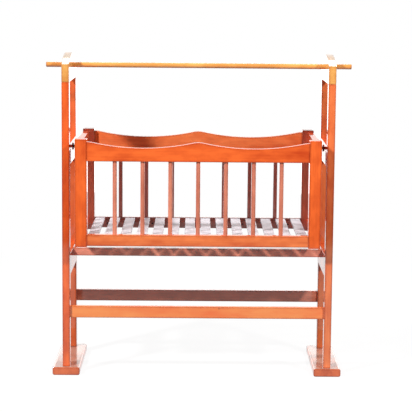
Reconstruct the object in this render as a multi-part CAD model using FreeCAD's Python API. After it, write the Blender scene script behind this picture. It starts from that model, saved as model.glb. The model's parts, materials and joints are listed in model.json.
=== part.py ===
import FreeCAD, Part
import math
import os
from FreeCAD import Vector

# A swinging cradle: a slatted basket that hangs on two pivot bolts between the end frames of a stand.
# Millimetres. X runs along the cradle, Y from front to back, Z up. The origin is on the floor, in the middle
# of the stand.

# Basket, overall
basket_length = 914.0        # X, over the corner posts
basket_width = 470.0         # Y, over the corner posts
basket_post = 45.0           # side of the square corner posts
basket_post_height = 403.0
basket_rail_thickness = 24.0
post_round = 3.0             # rounding of the basket posts' edges

# Basket, top rails
top_rail_drop = 10.0         # rail ends below the post tops
top_rail_height = 72.0       # at the posts
scallop_depth = 22.0         # sag of each of the two scallops in a side rail's top edge
scallop_peak_round = 90.0    # radius of the soft peaks beside the scallops

# Basket, bottom rails and floor
bottom_rail_lift = 4.0       # rail underside above the post feet
bottom_rail_height = 43.0
slat_count = 14
slat_width = 38.0
slat_thickness = 10.0
slat_drop = 2.0              # slat tops below the bottom rails' top edges
slat_end_gap = 3.0           # from the corner posts to the first and last slat
slat_side_gap = 1.0          # from a slat's end to the side rail
slat_round = 1.5
ledger_size = 20.0           # square strip that carries the slats
ledger_screw_every = 3       # a ledger screw in every third gap between slats

# Basket, spindles
spindle_diameter = 16.0
side_spindle_count = 7
end_spindle_count = 3
spindle_socket = 12.0        # how far a spindle goes into its rails

# Pivot
pivot_height = 853.0         # swing axis above the floor
pivot_below_top = 50.0       # swing axis below the basket's post tops
bolt_diameter = 12.0
bolt_head_diameter = 28.0    # domed head inside the basket
bolt_head_height = 7.0
bolt_head_rim = 1.5          # straight rim under the dome
bolt_neck = 8.0              # length of the square neck that keeps the bolt from turning in the end rail
bolt_neck_width = 13.0
bolt_spare = 3.0             # bolt past its outer nut
bolt_chamfer = 1.0
bush_wall = 4.0
bush_flange_diameter = 28.0
bush_flange_thickness = 3.0
washer_diameter = 26.0
washer_thickness = 2.5
nut_sides = 6
nut_width = 19.0             # across flats
nut_height = 8.0             # outer nut
clamp_nut_height = 6.0       # thin nut that clamps the bolt to the basket's end rail
end_play = 1.5               # under the outer washer

# Stand, end frames
end_gap = 24.0               # between the basket's end and a post's inner face
post_width = 28.0            # X
post_depth = 40.0            # Y
post_spacing = 320.0         # Y, between the middles of front and rear posts
post_height = 1077.0         # from the foot board up to the arch
foot_width = 103.0           # X
foot_height = 31.0
foot_overhang = 15.0         # past the posts in Y
foot_round = 8.0
foot_end_round = 3.0
arch_end_height = 67.0       # of the arch's front and rear end, above the posts
arch_rise = 37.0             # of the arch's middle above its ends
arch_socket = 40.0           # how far a post's tenon goes into the arch
pivot_rail_height = 80.0
pivot_rail_below_axis = 55.0
lower_rail_height = 80.0

# Stand, pieces that join the end frames
swing_gap = 41.0             # from the basket's feet down to the stretcher
stretcher_height = 30.0
stretcher_depth = 28.0       # Y
brace_bottom = 218.0         # brace undersides above the floor
brace_height = 45.0
brace_thickness = 20.0       # Y
bar_diameter = 20.0
bar_below_peak = 47.0        # net bar's middle below the top of the arches
bar_overhang = 73.0          # past the posts' outer faces
bar_chamfer = 1.5

# Screws
wood_screw = 3.5             # shank diameter
wood_screw_head = 7.0
wood_screw_head_height = 2.2
slat_screw_bite = 14.0       # length of a slat's screws inside the ledger
ledger_screw_bite = 16.0     # length of a ledger's screws inside the rail
bar_screw_bite = 12.0        # length of the net bar's screws inside the bar
screw_sink = 0.3             # heads below the surface
recess_length = 4.2          # crossed slots in a screw's head
recess_width = 0.9
recess_depth = 1.3

# Fits
edge_round = 2.0             # eased edges of rails and stand posts
tenon_shoulder = 5.0         # step from a rail's faces to its tenon
mortise_wall = 10.0          # wood left behind a mortise in the stand
tenon_gap = 3.0              # wood left between crossing tenons in a basket post
joint_clearance = 0.1        # each side, in fixed joints
running_clearance = 0.05     # radial, pivot bolt in its bush

# Places worked out from the sizes above
X_AXIS = Vector(1, 0, 0)
Y_AXIS = Vector(0, 1, 0)
Z_AXIS = Vector(0, 0, 1)
ORIGIN = Vector(0, 0, 0)
SAME_PLACE = 0.001           # distance under which two places count as one

basket_x = basket_length / 2
basket_y = basket_width / 2
basket_inner_x = basket_x - basket_post
basket_inner_y = basket_y - basket_post
basket_top = pivot_height + pivot_below_top
basket_bottom = basket_top - basket_post_height
rail_mid_x = basket_x - basket_rail_thickness / 2
rail_mid_y = basket_y - basket_rail_thickness / 2
top_rail_top = basket_top - top_rail_drop
top_rail_bottom = top_rail_top - top_rail_height
bottom_rail_bottom = basket_bottom + bottom_rail_lift
bottom_rail_top = bottom_rail_bottom + bottom_rail_height
slat_top = bottom_rail_top - slat_drop
ledger_top = slat_top - slat_thickness
ledger_y = basket_y - basket_rail_thickness - ledger_size / 2
slat_pitch = (2 * (basket_inner_x - slat_end_gap) - slat_width) / (slat_count - 1)
basket_tenon = basket_post - basket_rail_thickness - tenon_gap

post_inner_x = basket_x + end_gap
frame_x = post_inner_x + post_width / 2
post_outer_x = post_inner_x + post_width
post_y = post_spacing / 2
post_inner_y = post_y - post_depth / 2
post_outer_y = post_y + post_depth / 2
post_top = foot_height + post_height
arch_end_top = post_top + arch_end_height
arch_peak = arch_end_top + arch_rise
bar_z = arch_peak - bar_below_peak
bar_half_length = post_outer_x + bar_overhang
pivot_rail_bottom = pivot_height - pivot_rail_below_axis
stretcher_top = basket_bottom - swing_gap
cross_tenon = post_depth - mortise_wall
brace_tenon = post_width - mortise_wall
stretcher_tenon = post_width - mortise_wall
foot_tenon = foot_height - mortise_wall

bolt_radius = bolt_diameter / 2
bush_bore = bolt_radius + running_clearance
bush_radius = bush_bore + bush_wall
bolt_head_x = basket_x - basket_rail_thickness
washer_x = post_outer_x + end_play
nut_x = washer_x + washer_thickness
bolt_end_x = nut_x + nut_height + bolt_spare


def middle(centre, size):
    """Low and high limit of a size about a centre."""
    return centre - size / 2, centre + size / 2


def block(limits):
    """Box from its (low, high) limits on X, Y and Z."""
    lows = Vector(*[low for low, high in limits])
    sides = [high - low for low, high in limits]
    return Part.makeBox(*sides, lows)


def grown(limits, by):
    return [(low - by, high + by) for low, high in limits]


def mirrored(shape, axis):
    return shape.mirror(ORIGIN, axis)


def edges_along(shape, axis):
    """Straight edges parallel to an axis."""
    straight = [edge for edge in shape.Edges if isinstance(edge.Curve, Part.Line)]
    return [edge for edge in straight if abs(edge.Curve.Direction.dot(axis)) > 1 - SAME_PLACE]


def edges_at(shape, axis, place):
    """Edges that lie in the plane at a place on an axis."""
    def lies_there(edge):
        ends = [vertex.Point.dot(axis) for vertex in edge.Vertexes]
        ends.append(edge.CenterOfMass.dot(axis))
        return max(abs(end - place) for end in ends) < SAME_PLACE
    return [edge for edge in shape.Edges if lies_there(edge)]


def tenon_limits(limits, axis, length):
    """Tenon on the far end of a rail along X (axis 0) or Y (axis 1)."""
    tenon = [(low + tenon_shoulder, high - tenon_shoulder) for low, high in limits]
    far_end = limits[axis][1]
    tenon[axis] = (far_end, far_end + length)
    return tenon


def with_tenons(body, tenon, axis):
    """Rail body with the same tenon on both ends."""
    far = block(tenon)
    near = mirrored(far, (X_AXIS, Y_AXIS)[axis])
    return body.fuse([far, near]).removeSplitter()


def mortised(shape, tenons):
    return shape.cut([block(grown(tenon, joint_clearance)) for tenon in tenons])


def plain_rail(limits, axis, tenon):
    """Straight rail with eased long edges and a tenon on each end."""
    body = block(limits)
    body = body.makeFillet(edge_round, edges_along(body, (X_AXIS, Y_AXIS)[axis]))
    return with_tenons(body, tenon, axis)


def board(outline, axis, thickness):
    """Board from a flat outline."""
    return Part.Face(Part.Wire(outline)).extrude(axis * thickness)


def line(start, end):
    return Part.LineSegment(start, end).toShape()


def arc(start, through, end):
    return Part.Arc(start, through, end).toShape()


def cross_recess(head, direction):
    """Crossed slots at a point, cut along a direction."""
    corner = Vector(-recess_length / 2, -recess_width / 2, 0)
    slot = Part.makeBox(recess_length, recess_width, recess_depth, corner)
    cross = slot.fuse(slot.rotated(ORIGIN, Z_AXIS, 90)).removeSplitter()
    cross.Placement = FreeCAD.Placement(head, FreeCAD.Rotation(Z_AXIS, direction))
    return cross


def screw(head, direction, length, ease=0.0):
    """Countersunk screw, or its hole when eased: head at a point, shank running along a direction."""
    shank = Part.makeCylinder(wood_screw / 2 + ease, length + ease, head, direction)
    cone = Part.makeCone(wood_screw_head / 2 + ease, wood_screw / 2 + ease, wood_screw_head_height,
                         head, direction)
    screw_shape = shank.fuse(cone)
    if ease:
        mouth = Part.makeCylinder(wood_screw_head / 2 + ease, screw_sink, head - direction * screw_sink,
                                  direction)
        screw_shape = screw_shape.fuse(mouth)
    else:
        screw_shape = screw_shape.cut(cross_recess(head, direction))
    return screw_shape.removeSplitter()


def screws(places, direction, length):
    return Part.makeCompound([screw(place, direction, length) for place in places])


def screw_holes(places, direction, length):
    return [screw(place, direction, length, joint_clearance) for place in places]


def spread(count, half_span):
    """Evenly spaced places between two faces, with equal spaces at the ends."""
    pitch = 2 * half_span / (count + 1)
    return [pitch * (index + 1) - half_span for index in range(count)]


# Limits of the rails, for the right-hand and rear side; the others are their mirror images
pivot_rail_limits = [(post_inner_x, post_outer_x), (-post_inner_y, post_inner_y),
                     (pivot_rail_bottom, pivot_rail_bottom + pivot_rail_height)]
lower_rail_limits = [(post_inner_x, post_outer_x), (-post_inner_y, post_inner_y),
                     (stretcher_top - lower_rail_height, stretcher_top)]
brace_limits = [(-post_inner_x, post_inner_x), middle(post_y, brace_thickness),
                (brace_bottom, brace_bottom + brace_height)]
stretcher_limits = [(-post_inner_x, post_inner_x), middle(0, stretcher_depth),
                    (stretcher_top - stretcher_height, stretcher_top)]
side_top_limits = [(-basket_inner_x, basket_inner_x), middle(rail_mid_y, basket_rail_thickness),
                   (top_rail_bottom, top_rail_top)]
side_bottom_limits = [(-basket_inner_x, basket_inner_x), middle(rail_mid_y, basket_rail_thickness),
                      (bottom_rail_bottom, bottom_rail_top)]
end_top_limits = [middle(rail_mid_x, basket_rail_thickness), (-basket_inner_y, basket_inner_y),
                  (top_rail_bottom, top_rail_top)]
end_bottom_limits = [middle(rail_mid_x, basket_rail_thickness), (-basket_inner_y, basket_inner_y),
                     (bottom_rail_bottom, bottom_rail_top)]

pivot_rail_tenon = tenon_limits(pivot_rail_limits, 1, cross_tenon)
lower_rail_tenon = tenon_limits(lower_rail_limits, 1, cross_tenon)
brace_rail_tenon = tenon_limits(brace_limits, 0, brace_tenon)
stretcher_end_tenon = tenon_limits(stretcher_limits, 0, stretcher_tenon)
side_top_tenon = tenon_limits(side_top_limits, 0, basket_tenon)
side_bottom_tenon = tenon_limits(side_bottom_limits, 0, basket_tenon)
end_top_tenon = tenon_limits(end_top_limits, 1, basket_tenon)
end_bottom_tenon = tenon_limits(end_bottom_limits, 1, basket_tenon)
post_foot_tenon = [middle(frame_x, post_width - 2 * tenon_shoulder),
                   middle(post_y, post_depth - 2 * tenon_shoulder),
                   (foot_height - foot_tenon, foot_height)]
post_arch_tenon = post_foot_tenon[:2] + [(post_top, post_top + arch_socket)]
bolt_neck_limits = [(bolt_head_x, bolt_head_x + bolt_neck), middle(0, bolt_neck_width),
                    middle(pivot_height, bolt_neck_width)]

# Places of spindles, slats and screws
side_spindle_places = spread(side_spindle_count, basket_inner_x)
end_spindle_places = spread(end_spindle_count, basket_inner_y)
slat_places = [slat_pitch * (index - (slat_count - 1) / 2) for index in range(slat_count)]
ledger_screw_places = [Vector(slat_places[gap] + slat_pitch / 2, ledger_y - ledger_size / 2 + screw_sink,
                              ledger_top - ledger_size / 2)
                       for gap in range(0, slat_count - 1, ledger_screw_every)]
bar_screw_place = Vector(frame_x, 0, arch_peak - screw_sink)
slat_screw_length = slat_thickness - screw_sink + slat_screw_bite
ledger_screw_length = ledger_size - screw_sink + ledger_screw_bite
bar_screw_length = bar_screw_place.z - (bar_z + bar_diameter / 2) + bar_screw_bite


def stand_post():
    """Right rear post, tenoned into its foot board and its arch and mortised for the rails."""
    body = block([(post_inner_x, post_outer_x), (post_inner_y, post_outer_y), (foot_height, post_top)])
    body = body.makeFillet(edge_round, body.Edges)
    body = body.fuse([block(post_foot_tenon), block(post_arch_tenon)]).removeSplitter()
    return mortised(body, [pivot_rail_tenon, lower_rail_tenon, brace_rail_tenon])


def foot_board():
    """Right foot board, round along its length, with mortises for two posts."""
    half_length = post_outer_y + foot_overhang
    body = block([middle(frame_x, foot_width), (-half_length, half_length), (0, foot_height)])
    body = body.makeFillet(foot_round, edges_along(body, Y_AXIS))
    end_edges = edges_at(body, Y_AXIS, half_length) + edges_at(body, Y_AXIS, -half_length)
    body = body.makeFillet(foot_end_round, end_edges)
    hole = block(grown(post_foot_tenon, joint_clearance))
    return body.cut([hole, mirrored(hole, Y_AXIS)])


def arch():
    """Right top cross-piece on its two posts: flat below, arched above, bored for the net bar."""
    def at(y, z):
        return Vector(post_inner_x, y, z)
    outline = [line(at(-post_outer_y, post_top), at(post_outer_y, post_top)),
               line(at(post_outer_y, post_top), at(post_outer_y, arch_end_top)),
               arc(at(post_outer_y, arch_end_top), at(0, arch_peak), at(-post_outer_y, arch_end_top)),
               line(at(-post_outer_y, arch_end_top), at(-post_outer_y, post_top))]
    body = board(outline, X_AXIS, post_width)
    body = body.makeFillet(edge_round, body.Edges)
    socket = block(grown(post_arch_tenon, joint_clearance))
    bore = Part.makeCylinder(bar_diameter / 2 + joint_clearance, post_width, at(0, bar_z), X_AXIS)
    holes = screw_holes([bar_screw_place], -Z_AXIS, bar_screw_length)
    return body.cut([socket, mirrored(socket, Y_AXIS), bore] + holes)


def rod(radius, start_x, length):
    """Cylinder on the swing axis."""
    return Part.makeCylinder(radius, length, Vector(start_x, 0, pivot_height), X_AXIS)


def pivot_rail():
    """Right pivot rail, bored for its bush."""
    body = plain_rail(pivot_rail_limits, 1, pivot_rail_tenon)
    return body.cut(rod(bush_radius + joint_clearance, post_inner_x, post_width))


def lower_rail():
    """Right lower cross-rail, mortised for the stretcher."""
    body = plain_rail(lower_rail_limits, 1, lower_rail_tenon)
    return mortised(body, [stretcher_end_tenon])


def net_bar():
    """Round bar through both arches."""
    left_end = Vector(-bar_half_length, 0, bar_z)
    body = Part.makeCylinder(bar_diameter / 2, 2 * bar_half_length, left_end, X_AXIS)
    rims = edges_at(body, X_AXIS, bar_half_length) + edges_at(body, X_AXIS, -bar_half_length)
    body = body.makeChamfer(bar_chamfer, rims)
    holes = screw_holes([bar_screw_place], -Z_AXIS, bar_screw_length)
    return body.cut(holes + [mirrored(hole, X_AXIS) for hole in holes])


def pivot_bush():
    """Flanged bush pressed into the right pivot rail from inside."""
    flange_x = post_inner_x - bush_flange_thickness
    length = bush_flange_thickness + post_width
    flange = rod(bush_flange_diameter / 2, flange_x, bush_flange_thickness)
    body = rod(bush_radius, flange_x, length).fuse(flange)
    return body.cut(rod(bush_bore, flange_x, length)).removeSplitter()


def pivot_bolt():
    """Right pivot bolt: a domed head inside the basket, a square neck in the end rail and a plain shank."""
    shank = rod(bolt_radius, bolt_head_x, bolt_end_x - bolt_head_x)
    shank = shank.makeChamfer(bolt_chamfer, edges_at(shank, X_AXIS, bolt_end_x))
    head_end_x = bolt_head_x - bolt_head_height
    dome = bolt_head_height - bolt_head_rim
    ball_radius = ((bolt_head_diameter / 2) ** 2 + dome ** 2) / (2 * dome)
    ball = Part.makeSphere(ball_radius, Vector(head_end_x + ball_radius, 0, pivot_height), X_AXIS)
    head = rod(bolt_head_diameter / 2, head_end_x, bolt_head_height).common(ball)
    return shank.fuse([head, block(bolt_neck_limits)]).removeSplitter()


def washer(x):
    """Washer on the right pivot bolt."""
    return rod(washer_diameter / 2, x, washer_thickness).cut(rod(bush_bore, x, washer_thickness))


def nut(x, height):
    """Hexagon nut on the right pivot bolt, chamfered on its outer corners."""
    centre = Vector(x, 0, pivot_height)
    corner = nut_width / 2 / math.cos(math.pi / nut_sides)
    turns = [math.tau * index / nut_sides for index in range(nut_sides + 1)]
    points = [centre + Vector(0, corner * math.cos(turn), corner * math.sin(turn)) for turn in turns]
    prism = Part.Face(Part.makePolygon(points)).extrude(X_AXIS * height)
    cone = Part.makeCone(corner + height / 2, nut_width / 2, height, centre, X_AXIS)
    return prism.common(cone).cut(rod(bush_bore, x, height))


def basket_corner_post():
    """Right rear corner post of the basket, mortised for four rails."""
    body = block([(basket_inner_x, basket_x), (basket_inner_y, basket_y), (basket_bottom, basket_top)])
    body = body.makeFillet(post_round, edges_along(body, Z_AXIS) + edges_at(body, Z_AXIS, basket_top))
    return mortised(body, [side_top_tenon, side_bottom_tenon, end_top_tenon, end_bottom_tenon])


def spindle(x, y):
    low = bottom_rail_top - spindle_socket + joint_clearance
    high = top_rail_bottom + spindle_socket - joint_clearance
    return Part.makeCylinder(spindle_diameter / 2, high - low, Vector(x, y, low), Z_AXIS)


def spindle_holes(places, mouth):
    """Sockets centred on a rail's edge, so that they reach a socket's depth into the rail."""
    radius = spindle_diameter / 2 + joint_clearance
    start = Vector(0, 0, mouth - spindle_socket)
    return [Part.makeCylinder(radius, 2 * spindle_socket, place + start, Z_AXIS) for place in places]


def side_spindle_axes():
    return [Vector(x, rail_mid_y, 0) for x in side_spindle_places]


def end_spindle_axes():
    return [Vector(rail_mid_x, y, 0) for y in end_spindle_places]


def scalloped_outline():
    """Rear top rail's outline: flat below, with two scallops above between three soft peaks."""
    def at(x, z):
        return Vector(x, basket_y - basket_rail_thickness, z)

    def on_end_peak(x):
        drop = scallop_peak_round - math.sqrt(scallop_peak_round ** 2 - (basket_inner_x - x) ** 2)
        return top_rail_top - drop

    end_x = basket_inner_x
    dip_x = end_x / 2
    dip = at(dip_x, top_rail_top - scallop_depth)
    both_radii = (dip_x ** 2 + scallop_depth ** 2) / (2 * scallop_depth)
    peak_share = scallop_peak_round / both_radii
    join_x = dip_x * peak_share
    join_z = top_rail_top - scallop_depth * peak_share
    half_peak_x = end_x - join_x / 2
    half_peak = at(half_peak_x, on_end_peak(half_peak_x))
    right_top = [arc(at(end_x, top_rail_top), half_peak, at(end_x - join_x, join_z)),
                 arc(at(end_x - join_x, join_z), dip, at(join_x, join_z))]
    left_top = [mirrored(edge, X_AXIS) for edge in reversed(right_top)]
    middle_peak = arc(at(join_x, join_z), at(0, top_rail_top), at(-join_x, join_z))
    return [line(at(-end_x, top_rail_bottom), at(end_x, top_rail_bottom)),
            line(at(end_x, top_rail_bottom), at(end_x, top_rail_top)),
            *right_top, middle_peak, *left_top,
            line(at(-end_x, top_rail_top), at(-end_x, top_rail_bottom))]


def side_top_rail():
    """Rear top rail, eased except at its ends, with sockets for its spindles."""
    body = board(scalloped_outline(), Y_AXIS, basket_rail_thickness)
    rims = edges_at(body, Y_AXIS, basket_y - basket_rail_thickness) + edges_at(body, Y_AXIS, basket_y)
    eased = [edge for edge in rims if basket_inner_x - abs(edge.CenterOfMass.x) > SAME_PLACE]
    body = body.makeFillet(edge_round, eased)
    body = with_tenons(body, side_top_tenon, 0)
    return body.cut(spindle_holes(side_spindle_axes(), top_rail_bottom))


def side_bottom_rail():
    """Rear bottom rail with spindle sockets and pilot holes for the ledger's screws."""
    body = plain_rail(side_bottom_limits, 0, side_bottom_tenon)
    holes = spindle_holes(side_spindle_axes(), bottom_rail_top)
    return body.cut(holes + screw_holes(ledger_screw_places, Y_AXIS, ledger_screw_length))


def end_top_rail():
    """Right end's top rail with spindle sockets and a hole for the pivot bolt and its neck."""
    body = plain_rail(end_top_limits, 1, end_top_tenon)
    body = mortised(body, [bolt_neck_limits])
    bore = rod(bolt_radius + joint_clearance, bolt_head_x, basket_rail_thickness)
    return body.cut(spindle_holes(end_spindle_axes(), top_rail_bottom) + [bore])


def end_bottom_rail():
    """Right end's bottom rail with spindle sockets."""
    body = plain_rail(end_bottom_limits, 1, end_bottom_tenon)
    return body.cut(spindle_holes(end_spindle_axes(), bottom_rail_top))


def slat_screw_pair(x):
    return [Vector(x, side * ledger_y, slat_top - screw_sink) for side in (-1, 1)]


def slat_screw_places():
    return [place for x in slat_places for place in slat_screw_pair(x)]


def ledger():
    """Strip along the rear bottom rail that the slats are screwed to."""
    body = block([(-basket_inner_x, basket_inner_x), middle(ledger_y, ledger_size),
                  (ledger_top - ledger_size, ledger_top)])
    holes = screw_holes(ledger_screw_places, Y_AXIS, ledger_screw_length)
    return body.cut(holes + screw_holes(slat_screw_places(), -Z_AXIS, slat_screw_length))


def slat(x):
    """Floor slat across the basket, drilled for a screw at each end."""
    half_length = basket_y - basket_rail_thickness - slat_side_gap
    body = block([middle(x, slat_width), (-half_length, half_length), (ledger_top, slat_top)])
    body = body.makeFillet(slat_round, edges_along(body, Y_AXIS))
    return body.cut(screw_holes(slat_screw_pair(x), -Z_AXIS, slat_screw_length))


nodes = {}


def add_sides(name, shape, axis, near, far):
    """A piece and its mirror image, named for the two sides of an axis."""
    nodes[f"{far}_{name}"] = shape
    nodes[f"{near}_{name}"] = mirrored(shape, axis)


def add_pair(name, shape):
    """Two mirror images as one node."""
    nodes[name] = Part.makeCompound([shape, mirrored(shape, X_AXIS)])


# Stand
for side, post in (("rear", stand_post()), ("front", mirrored(stand_post(), Y_AXIS))):
    add_sides(f"{side}_post", post, X_AXIS, "left", "right")
add_sides("foot_board", foot_board(), X_AXIS, "left", "right")
add_sides("top_arch", arch(), X_AXIS, "left", "right")
add_sides("pivot_rail", pivot_rail(), X_AXIS, "left", "right")
add_sides("lower_rail", lower_rail(), X_AXIS, "left", "right")
add_sides("brace_rail", plain_rail(brace_limits, 0, brace_rail_tenon), Y_AXIS, "front", "rear")
add_sides("pivot_bush", pivot_bush(), X_AXIS, "left", "right")
nodes["centre_stretcher"] = plain_rail(stretcher_limits, 0, stretcher_end_tenon)
nodes["net_bar"] = net_bar()
add_pair("net_bar_screws", screw(bar_screw_place, -Z_AXIS, bar_screw_length))

# Basket
for side, post in (("rear", basket_corner_post()), ("front", mirrored(basket_corner_post(), Y_AXIS))):
    add_sides(f"{side}_basket_post", post, X_AXIS, "left", "right")
add_sides("top_rail", side_top_rail(), Y_AXIS, "front", "rear")
add_sides("bottom_rail", side_bottom_rail(), Y_AXIS, "front", "rear")
add_sides("end_top_rail", end_top_rail(), X_AXIS, "left", "right")
add_sides("end_bottom_rail", end_bottom_rail(), X_AXIS, "left", "right")
side_spindles = Part.makeCompound([spindle(place.x, place.y) for place in side_spindle_axes()])
end_spindles = Part.makeCompound([spindle(place.x, place.y) for place in end_spindle_axes()])
add_sides("spindles", side_spindles, Y_AXIS, "front", "rear")
add_sides("end_spindles", end_spindles, X_AXIS, "left", "right")
add_sides("slat_ledger", ledger(), Y_AXIS, "front", "rear")
for number, place in enumerate(slat_places, start=1):
    nodes[f"slat_{number:02d}"] = slat(place)
nodes["slat_screws"] = screws(slat_screw_places(), -Z_AXIS, slat_screw_length)
ledger_screws = screws(ledger_screw_places, Y_AXIS, ledger_screw_length)
nodes["ledger_screws"] = Part.makeCompound([ledger_screws, mirrored(ledger_screws, Y_AXIS)])

# Pivots
add_sides("pivot_bolt", pivot_bolt(), X_AXIS, "left", "right")
add_pair("pivot_clamp_washers", washer(basket_x))
add_pair("pivot_clamp_nuts", nut(basket_x + washer_thickness, clamp_nut_height))
add_pair("pivot_washers", washer(washer_x))
add_pair("pivot_nuts", nut(nut_x, nut_height))

os.makedirs("parts", exist_ok=True)
for name, shape in nodes.items():
    shape.exportStep(f"parts/{name}.step")
print(len(nodes), "nodes")
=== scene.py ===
import json
import math

import bmesh
import bpy
from mathutils import Matrix, Vector


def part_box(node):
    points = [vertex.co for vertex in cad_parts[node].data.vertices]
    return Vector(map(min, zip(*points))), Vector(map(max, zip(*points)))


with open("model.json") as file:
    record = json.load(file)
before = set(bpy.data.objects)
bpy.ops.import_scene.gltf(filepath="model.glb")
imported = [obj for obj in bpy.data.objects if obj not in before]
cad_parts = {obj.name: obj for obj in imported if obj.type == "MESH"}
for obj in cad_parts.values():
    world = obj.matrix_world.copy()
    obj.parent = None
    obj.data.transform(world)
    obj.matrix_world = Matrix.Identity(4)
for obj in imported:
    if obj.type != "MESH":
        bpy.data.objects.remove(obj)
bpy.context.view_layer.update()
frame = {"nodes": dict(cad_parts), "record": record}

# Lengths are metres, angles are degrees, powers are watts and colours are linear RGB.

# Camera, fitted to the photograph's view
CAMERA_PLACE = (-0.008, -5.883, 1.4717)
CAMERA_PITCH = 8.196
CAMERA_YAW = 0.384
CAMERA_ROLL = 0.5
CAMERA_LENS_MM = 134.46
CAMERA_SENSOR_MM = 36.0

# Lamps: place, width and height, and power
LAMPS = {"left_key": ((-4.2, -4.2, 5.4), (0.6, 0.6), 580.0),
         "right_key": ((2.3, -2.3, 3.3), (0.35, 0.35), 104.0),
         "rear_key": ((2.8, 4.2, 2.0), (0.9, 0.9), 130.0),
         "top_strip": ((0.0, 2.2, 3.2), (2.0, 0.8), 26.0),
         "back_panel": ((0.0, 5.0, 0.64), (7.0, 1.28), 34.0)}
LAMP_TARGET = (0.0, 0.0, 0.8)

# Nodes that are in shade in the photograph, under the lamp that stays off them
REAR_SHADE = ["rear_spindles", "rear_bottom_rail", "rear_slat_ledger",
              "left_rear_basket_post", "right_rear_basket_post"]
SHADED = {"left_key": REAR_SHADE + ["rear_brace_rail", "right_rear_post"],
          "right_key": REAR_SHADE + ["rear_top_rail"],
          "top_strip": ["left_foot_board", "right_foot_board"]}

# Surroundings: gloss mirrors them dark up to one Y of the direction, and white from the other
WHITE = (1.0, 1.0, 1.0)
SKY_FILL = 0.17
FRONT_GLOSS = 0.1
GLOSS_DARK_Y = -0.3
GLOSS_WHITE_Y = 0.1

# Floor
FLOOR_RADIUS = 3.2
FLOOR_SEGMENTS = 96
FLOOR_FADE_START = 1.2
FLOOR_FADE_END = 2.6
FLOOR_COLOUR = (0.09, 0.09, 0.09)
FLOOR_LIFT = 0.91

# Lacquered wood: the deep and the light colour of each tone, and the nodes that aren't orange. Every
# tone but orange is a copy of the orange lacquer that paints light and shade.
LACQUER = {"orange": ((0.52, 0.038, 0.006), (1.00, 0.168, 0.030)),
           "gold": ((0.64, 0.210, 0.036), (0.90, 0.450, 0.120)),
           "amber": ((0.60, 0.080, 0.020), (1.00, 0.260, 0.080)),
           "honey": ((0.92, 0.155, 0.028), (1.00, 0.310, 0.076)),
           "rust": ((0.50, 0.072, 0.020), (0.86, 0.180, 0.055)),
           "salmon": ((0.55, 0.150, 0.092), (0.92, 0.335, 0.215)),
           "plum": ((0.40, 0.135, 0.105), (0.64, 0.265, 0.215))}
# Painted light and shade by tone: the gold tone on the arches and net bar and the honey tone on the
# front brace are painted light; the rust tone on the feet and left rear post and the plum tone on the
# rear spindles, rear bottom rail and ledger are painted shade; the amber tone is painted light on the
# front bottom rail and painted shade on the right posts and rear top rail; the salmon tone is a painted
# sheen on the front and end spindles and painted shade on the stretcher, rear brace and rear basket
# posts.
PAINTED_LIGHT_TONES = {"left_top_arch": "gold", "right_top_arch": "gold", "net_bar": "gold",
         "front_bottom_rail": "amber", "rear_top_rail": "amber",
         "right_front_post": "amber", "right_rear_post": "amber",
         "front_brace_rail": "honey",
         "left_foot_board": "rust", "right_foot_board": "rust", "left_rear_post": "rust",
         "rear_brace_rail": "salmon", "centre_stretcher": "salmon", "front_spindles": "salmon",
         "left_end_spindles": "salmon", "right_end_spindles": "salmon",
         "left_rear_basket_post": "salmon", "right_rear_basket_post": "salmon",
         "rear_bottom_rail": "plum", "rear_slat_ledger": "plum", "rear_spindles": "plum"}
# Darker colour along the edges of the wood: partly pooled stain, partly painted shade of the edges
POOLED_STAIN_AND_EDGE_SHADE = (0.30, 0.030, 0.008)
STAIN_AND_SHADE_EDGE_WIDTH = 0.011
PIN_KNOT = (0.16, 0.025, 0.008)
KNOT_SIZE = 0.035
KNOT_SHARE = 0.7
# Painted sheen: a pale grey on the upward faces of these nodes, in patches
PAINTED_SHEEN_COLOUR = (0.32, 0.31, 0.27)
PAINTED_SHEEN_NODES = ("left_top_arch", "right_top_arch", "left_foot_board", "right_foot_board")

# Its patterns: repeats per metre along and across the grain, and how much they lighten the stain
FIGURE = (1.2, 16.0)
FIGURE_SHARE = 0.40
STREAKS = (5.0, 260.0)
STREAK_SHARE = 0.20
BLOTCHES = (4.0, 9.0)
BLOTCH_SHARE = 0.45
MOTTLE = (18.0, 45.0)
MOTTLE_SHARE = 0.30
PORES = (28.0, 1100.0)
PORE_SHARE = 0.35
KNOTS = (5.0, 9.0)
RIPPLE = 320.0

# Slats: two colours, patterns like those of the lacquered wood, and how much they grey the wood
SLAT_PALE = (0.60, 0.57, 0.61)
SLAT_GREY = (0.36, 0.33, 0.37)
SLAT_FIGURE = (2.0, 30.0)
SLAT_FIGURE_SHARE = 0.30
SLAT_STREAKS = (9.0, 420.0)
SLAT_STREAK_SHARE = 0.28
SLAT_STAINS = (9.0, 9.0)
SLAT_STAIN_SHARE = 0.25

# Steel: colours, and patterns in repeats per metre
STEEL_BLACK = (0.012, 0.012, 0.013)
STEEL_BLACK_WORN = (0.05, 0.047, 0.045)
STEEL_SPECKS = 900.0
STEEL_SMEARS = 60.0
WORN_WIDTH = 0.0012
ZINC_BRIGHT = (0.62, 0.61, 0.58)
ZINC_DULL = (0.34, 0.33, 0.31)
ZINC_PATCHES = 220.0

# Usual ends of a noise pattern, and of the middle part of it
WIDE = (0.30, 0.70)
MIDDLE = (0.35, 0.65)

AXES = "XYZ"
EVEN = (1.0, 1.0, 1.0)
OBJECT_OFFSET = (7.1, 13.7, 5.3)

# Cosines between a face and its softened edge where stain starts to pool and where it is full; on the
# wood this darker edge is partly pooled stain and partly painted shade
EDGE_START = 0.995
EDGE_FULL = 0.90

# Upward part of a face's normal where the painted sheen starts and where it is full
TOP_START = 0.60
TOP_FULL = 0.95

# Places of a Mix node's colour sockets, whose names aren't unique
MIX_SHARE = 0
MIX_FIRST = 6
MIX_SECOND = 7
MIX_RESULT = 2


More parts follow.
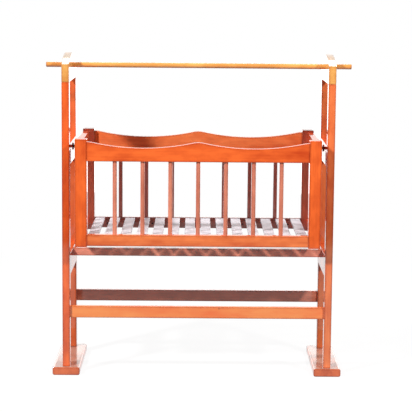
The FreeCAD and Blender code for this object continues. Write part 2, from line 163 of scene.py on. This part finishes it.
class Nodes:
    """Short calls for adding and joining the nodes of one tree."""

    def __init__(self, tree):
        self.tree = tree

    def add(self, kind, inputs=None, **settings):
        node = self.tree.nodes.new(kind)
        for key, value in settings.items():
            setattr(node, key, value)
        for key, value in (inputs or {}).items():
            self.put(node.inputs[key], value)
        return node

    def put(self, socket, value):
        """Links a socket to another, or sets its value."""
        if isinstance(value, bpy.types.NodeSocket):
            self.tree.links.new(value, socket)
        elif isinstance(value, tuple) and socket.type == "RGBA":
            socket.default_value = (*value, 1.0)
        else:
            socket.default_value = value

    def math(self, operation, first, second):
        return self.add("ShaderNodeMath", {0: first, 1: second}, operation=operation).outputs[0]

    def vector_math(self, operation, *values):
        return self.add("ShaderNodeVectorMath", dict(enumerate(values)), operation=operation).outputs

    def remap(self, value, low, high, to_low=0.0, to_high=1.0):
        node = self.add("ShaderNodeMapRange", {"Value": value, "From Min": low, "From Max": high,
                                               "To Min": to_low, "To Max": to_high})
        return node.outputs["Result"]


class Finish(Nodes):
    """A material under construction."""

    def __init__(self, name):
        self.material = bpy.data.materials.new(name)
        self.material.use_nodes = True
        super().__init__(self.material.node_tree)
        self.shader = self.tree.nodes["Principled BSDF"]
        self.place = self.add("ShaderNodeTexCoord").outputs["Object"]

    def set(self, **inputs):
        for key, value in inputs.items():
            self.put(self.shader.inputs[key.replace("_", " ")], value)

    def stretched(self, scale):
        """Coordinates scaled on each axis, moved to a different place for each object."""
        chance = self.add("ShaderNodeObjectInfo").outputs["Random"]
        offset = self.vector_math("MULTIPLY", chance, OBJECT_OFFSET)[0]
        moved = self.vector_math("ADD", self.place, offset)[0]
        return self.vector_math("MULTIPLY", moved, scale)[0]

    def grain(self, axis, pattern):
        """Coordinates in which a pattern runs along one axis."""
        along, across = pattern
        return self.stretched(tuple(along if name == axis else across for name in AXES))

    def noise(self, vector, scale=1.0, detail=3.0, roughness=0.5, distortion=0.0):
        node = self.add("ShaderNodeTexNoise", {"Vector": vector, "Scale": scale, "Detail": detail,
                                               "Roughness": roughness, "Distortion": distortion})
        return node.outputs["Fac"]

    def specks(self, vector, size, share):
        """1 in small spots, one in each of a share of the cells of a random pattern."""
        cells = self.add("ShaderNodeTexVoronoi", {"Vector": vector, "Scale": 1.0})
        chance = self.add("ShaderNodeSeparateColor", {"Color": cells.outputs["Color"]}).outputs["Red"]
        kept = self.math("LESS_THAN", chance, share)
        return self.math("MULTIPLY", kept, self.remap(cells.outputs["Distance"], size, 0.5 * size))

    def mix(self, share, first, second):
        node = self.add("ShaderNodeMix", data_type="RGBA")
        self.put(node.inputs[MIX_SHARE], share)
        self.put(node.inputs[MIX_FIRST], first)
        self.put(node.inputs[MIX_SECOND], second)
        return node.outputs[MIX_RESULT]

    def edges(self, radius):
        """Near 1 along rounded or sharp edges, 0 on flat faces."""
        soft = self.add("ShaderNodeBevel", {"Radius": radius}, samples=4).outputs["Normal"]
        true = self.add("ShaderNodeNewGeometry").outputs["Normal"]
        same = self.vector_math("DOT_PRODUCT", soft, true)["Value"]
        return self.remap(same, EDGE_START, EDGE_FULL)

    def tops(self):
        """1 on faces that look up, 0 on upright faces."""
        normal = self.add("ShaderNodeNewGeometry").outputs["Normal"]
        parts = self.add("ShaderNodeSeparateXYZ", {0: normal})
        return self.remap(parts.outputs["Z"], TOP_START, TOP_FULL)

    def bump(self, height, strength, distance):
        node = self.add("ShaderNodeBump", {"Height": height, "Strength": strength, "Distance": distance})
        return node.outputs["Normal"]


def lacquered_wood(tone, axis, dusty):
    """Stained wood under a clear gloss coat, with its grain along one axis, in a tone that paints light
    and shade unless it is orange, and perhaps a painted sheen on top.
    """
    finish = Finish(f"{'dusty' if dusty else 'lacquered'}_wood_{tone}_{axis.lower()}")
    deep, light = LACQUER[tone]
    figure = finish.noise(finish.grain(axis, FIGURE), detail=4.0, distortion=0.8)
    streaks = finish.noise(finish.grain(axis, STREAKS), roughness=0.6)
    pores = finish.noise(finish.grain(axis, PORES), detail=1.0)
    blotches = finish.noise(finish.grain(axis, BLOTCHES))
    mottle = finish.noise(finish.grain(axis, MOTTLE), detail=2.0)
    knots = finish.specks(finish.grain(axis, KNOTS), KNOT_SIZE, KNOT_SHARE)

    share = finish.math("ADD", finish.remap(figure, *WIDE, 0.0, FIGURE_SHARE),
                        finish.remap(streaks, *WIDE, 0.0, STREAK_SHARE))
    share = finish.math("ADD", share, finish.remap(blotches, *MIDDLE, 0.0, BLOTCH_SHARE))
    share = finish.math("ADD", share, finish.remap(mottle, *MIDDLE, 0.0, MOTTLE_SHARE))
    stain = finish.mix(share, deep, light)
    stain = finish.mix(finish.remap(pores, 0.70, 0.78, 0.0, PORE_SHARE), stain, deep)
    stain = finish.mix(knots, stain, PIN_KNOT)
    # Darker along the edges: partly pooled stain, partly painted edge shade
    pooled_stain_and_edge_shade = finish.math("MULTIPLY", finish.edges(STAIN_AND_SHADE_EDGE_WIDTH),
                         finish.remap(blotches, 0.40, 0.65, 0.80, 0.45))
    stain = finish.mix(pooled_stain_and_edge_shade, stain, POOLED_STAIN_AND_EDGE_SHADE)
    # Painted sheen: pale grey mixed in on upward faces
    if dusty:
        painted_sheen_share = finish.math("MULTIPLY", finish.tops(), finish.remap(mottle, *MIDDLE, 0.50, 0.75))
        stain = finish.mix(painted_sheen_share, stain, PAINTED_SHEEN_COLOUR)

    ripple = finish.noise(finish.stretched(EVEN), RIPPLE, detail=1.0)
    surface = finish.math("ADD", ripple, finish.math("MULTIPLY", pores, 0.3))
    finish.set(Base_Color=stain,
               Roughness=finish.remap(blotches, *WIDE, 0.32, 0.48),
               Normal=finish.bump(surface, strength=0.05, distance=0.0004))
    finish.set(IOR=1.45, Specular_IOR_Level=0.05, Coat_Weight=1.0, Coat_Roughness=0.06, Coat_IOR=1.55)
    return finish.material


def pale_slat_wood():
    """Pale, thinly varnished slats with their grain along Y."""
    finish = Finish("pale_slat_wood")
    figure = finish.noise(finish.grain("Y", SLAT_FIGURE), detail=4.0, distortion=0.6)
    streaks = finish.noise(finish.grain("Y", SLAT_STREAKS), roughness=0.6)
    stains = finish.noise(finish.grain("Y", SLAT_STAINS))
    share = finish.math("ADD", finish.remap(figure, 0.35, 0.75, 0.0, SLAT_FIGURE_SHARE),
                        finish.remap(streaks, 0.40, 0.75, 0.0, SLAT_STREAK_SHARE))
    share = finish.math("ADD", share, finish.remap(stains, 0.50, 0.75, 0.0, SLAT_STAIN_SHARE))
    finish.set(Base_Color=finish.mix(share, SLAT_PALE, SLAT_GREY),
               Roughness=finish.remap(stains, *WIDE, 0.35, 0.55),
               Normal=finish.bump(streaks, strength=0.12, distance=0.0004))
    finish.set(IOR=1.45, Specular_IOR_Level=0.2, Coat_Weight=0.5, Coat_Roughness=0.45, Coat_IOR=1.45)
    return finish.material


def black_steel():
    """Satin black paint on steel, thin along its edges."""
    finish = Finish("black_steel")
    specks = finish.noise(finish.stretched(EVEN), STEEL_SPECKS, detail=2.0)
    smears = finish.noise(finish.stretched(EVEN), STEEL_SMEARS)
    worn = finish.math("MULTIPLY", finish.edges(WORN_WIDTH), finish.remap(smears, 0.45, 0.60, 0.1, 0.8))
    finish.set(Base_Color=finish.mix(worn, STEEL_BLACK, STEEL_BLACK_WORN),
               Roughness=finish.remap(smears, *WIDE, 0.28, 0.45),
               Normal=finish.bump(specks, strength=0.08, distance=0.0002))
    return finish.material


def screw_steel():
    """Zinc-plated screws, duller in patches."""
    finish = Finish("screw_steel")
    patches = finish.noise(finish.stretched(EVEN), ZINC_PATCHES)
    finish.set(Base_Color=finish.mix(finish.remap(patches, *MIDDLE), ZINC_BRIGHT, ZINC_DULL),
               Roughness=finish.remap(patches, *WIDE, 0.25, 0.45),
               Normal=finish.bump(patches, strength=0.05, distance=0.0002))
    finish.set(Metallic=1.0)
    return finish.material


def grain_axis(name):
    """Letter of the axis that a wooden node's grain follows: its longest side, or up for spindles."""
    if name.endswith("spindles"):
        return "Z"
    low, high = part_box(name)
    sides = high - low
    return AXES[max(range(3), key=lambda index: sides[index])]


def dress_nodes():
    """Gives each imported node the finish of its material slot."""
    finishes = {"pale_slat_wood": pale_slat_wood(),
                "black_steel": black_steel(),
                "screw_steel": screw_steel()}
    for part in frame["record"]["subparts"]:
        name = part["node"]
        key = part["material_slot"]
        if key == "lacquered_wood":
            key = (PAINTED_LIGHT_TONES.get(name, "orange"), grain_axis(name), name in PAINTED_SHEEN_NODES)
            if key not in finishes:
                finishes[key] = lacquered_wood(*key)
        frame["nodes"][name].material_slots[0].material = finishes[key]


def floor():
    """Round pale floor that fades into the white background and keeps the cradle's shadow."""
    mesh = bpy.data.meshes.new("floor")
    disc = bmesh.new()
    bmesh.ops.create_circle(disc, cap_ends=True, segments=FLOOR_SEGMENTS, radius=FLOOR_RADIUS)
    disc.to_mesh(mesh)
    disc.free()
    piece = bpy.data.objects.new("floor", mesh)
    bpy.context.scene.collection.objects.link(piece)

    finish = Finish("pale_floor")
    rays = finish.add("ShaderNodeLightPath").outputs
    seen = finish.math("MAXIMUM", rays["Is Camera Ray"], rays["Is Glossy Ray"])
    seen = finish.math("MAXIMUM", seen, rays["Is Transmission Ray"])
    away = finish.vector_math("LENGTH", finish.place)["Value"]
    fade = finish.math("MULTIPLY", seen, finish.remap(away, FLOOR_FADE_START, FLOOR_FADE_END))
    strength = finish.math("MULTIPLY", seen, FLOOR_LIFT)
    lift = finish.add("ShaderNodeEmission", {"Color": WHITE, "Strength": strength})
    finish.set(Base_Color=FLOOR_COLOUR, Roughness=1.0, Specular_IOR_Level=0.0)
    near = finish.add("ShaderNodeAddShader", {0: finish.shader.outputs[0], 1: lift.outputs[0]})
    white = finish.add("ShaderNodeEmission", {"Color": WHITE, "Strength": 1.0})
    both = finish.add("ShaderNodeMixShader", {0: fade, 1: near.outputs[0], 2: white.outputs[0]})
    finish.put(finish.tree.nodes["Material Output"].inputs["Surface"], both.outputs[0])
    mesh.materials.append(finish.material)


def sky():
    """Surroundings: an even fill, white to the camera, and darker in front where gloss mirrors them."""
    world = bpy.data.worlds.new("studio")
    bpy.context.scene.world = world
    world.use_nodes = True
    nodes = Nodes(world.node_tree)
    rays = nodes.add("ShaderNodeLightPath").outputs
    direction = nodes.add("ShaderNodeTexCoord").outputs["Generated"]
    parts = nodes.add("ShaderNodeSeparateXYZ", {0: direction})
    gloss = nodes.remap(parts.outputs["Y"], GLOSS_DARK_Y, GLOSS_WHITE_Y, FRONT_GLOSS, 1.0)
    mirrored = nodes.math("MULTIPLY", rays["Is Glossy Ray"], gloss)
    seen = nodes.math("MAXIMUM", rays["Is Camera Ray"], rays["Is Transmission Ray"])
    bright = nodes.math("MAXIMUM", seen, mirrored)
    fill = nodes.math("MULTIPLY", rays["Is Diffuse Ray"], SKY_FILL)
    backdrop = nodes.tree.nodes["Background"]
    nodes.put(backdrop.inputs["Color"], WHITE)
    nodes.put(backdrop.inputs["Strength"], nodes.math("ADD", bright, fill))


def keep_off(lamp):
    """Keeps a lamp's light off the nodes that stand in its shade."""
    group = bpy.data.collections.new(f"{lamp.name}_shade")
    for name in SHADED[lamp.name]:
        group.objects.link(frame["nodes"][name])
    for entry in group.collection_objects:
        entry.light_linking.link_state = "EXCLUDE"
    lamp.light_linking.receiver_collection = group


def soft_box(name, place, size, power):
    """Flat lamp that faces the cradle and stays out of the picture."""
    data = bpy.data.lights.new(name, "AREA")
    data.shape = "RECTANGLE"
    data.size, data.size_y = size
    data.energy = power
    lamp = bpy.data.objects.new(name, data)
    lamp.location = place
    aim = Vector(LAMP_TARGET) - Vector(place)
    lamp.rotation_euler = aim.to_track_quat("-Z", "Y").to_euler()
    lamp.visible_camera = False
    return lamp


def lamps():
    """All the studio's lamps."""
    for name, settings in LAMPS.items():
        lamp = soft_box(name, *settings)
        bpy.context.scene.collection.objects.link(lamp)
        if name in SHADED:
            keep_off(lamp)


def camera():
    """Camera at the photograph's viewing angle."""
    data = bpy.data.cameras.new("camera")
    data.lens = CAMERA_LENS_MM
    data.sensor_width = CAMERA_SENSOR_MM
    eye = bpy.data.objects.new("camera", data)
    turn = Matrix.Rotation(math.radians(-CAMERA_YAW), 4, "Z")
    tilt = Matrix.Rotation(math.radians(90 - CAMERA_PITCH), 4, "X")
    roll = Matrix.Rotation(math.radians(CAMERA_ROLL), 4, "Z")
    eye.matrix_world = Matrix.Translation(CAMERA_PLACE) @ turn @ tilt @ roll
    bpy.context.scene.collection.objects.link(eye)
    bpy.context.scene.camera = eye


dress_nodes()
floor()
sky()
lamps()
camera()
bpy.context.scene.view_settings.view_transform = "Standard"
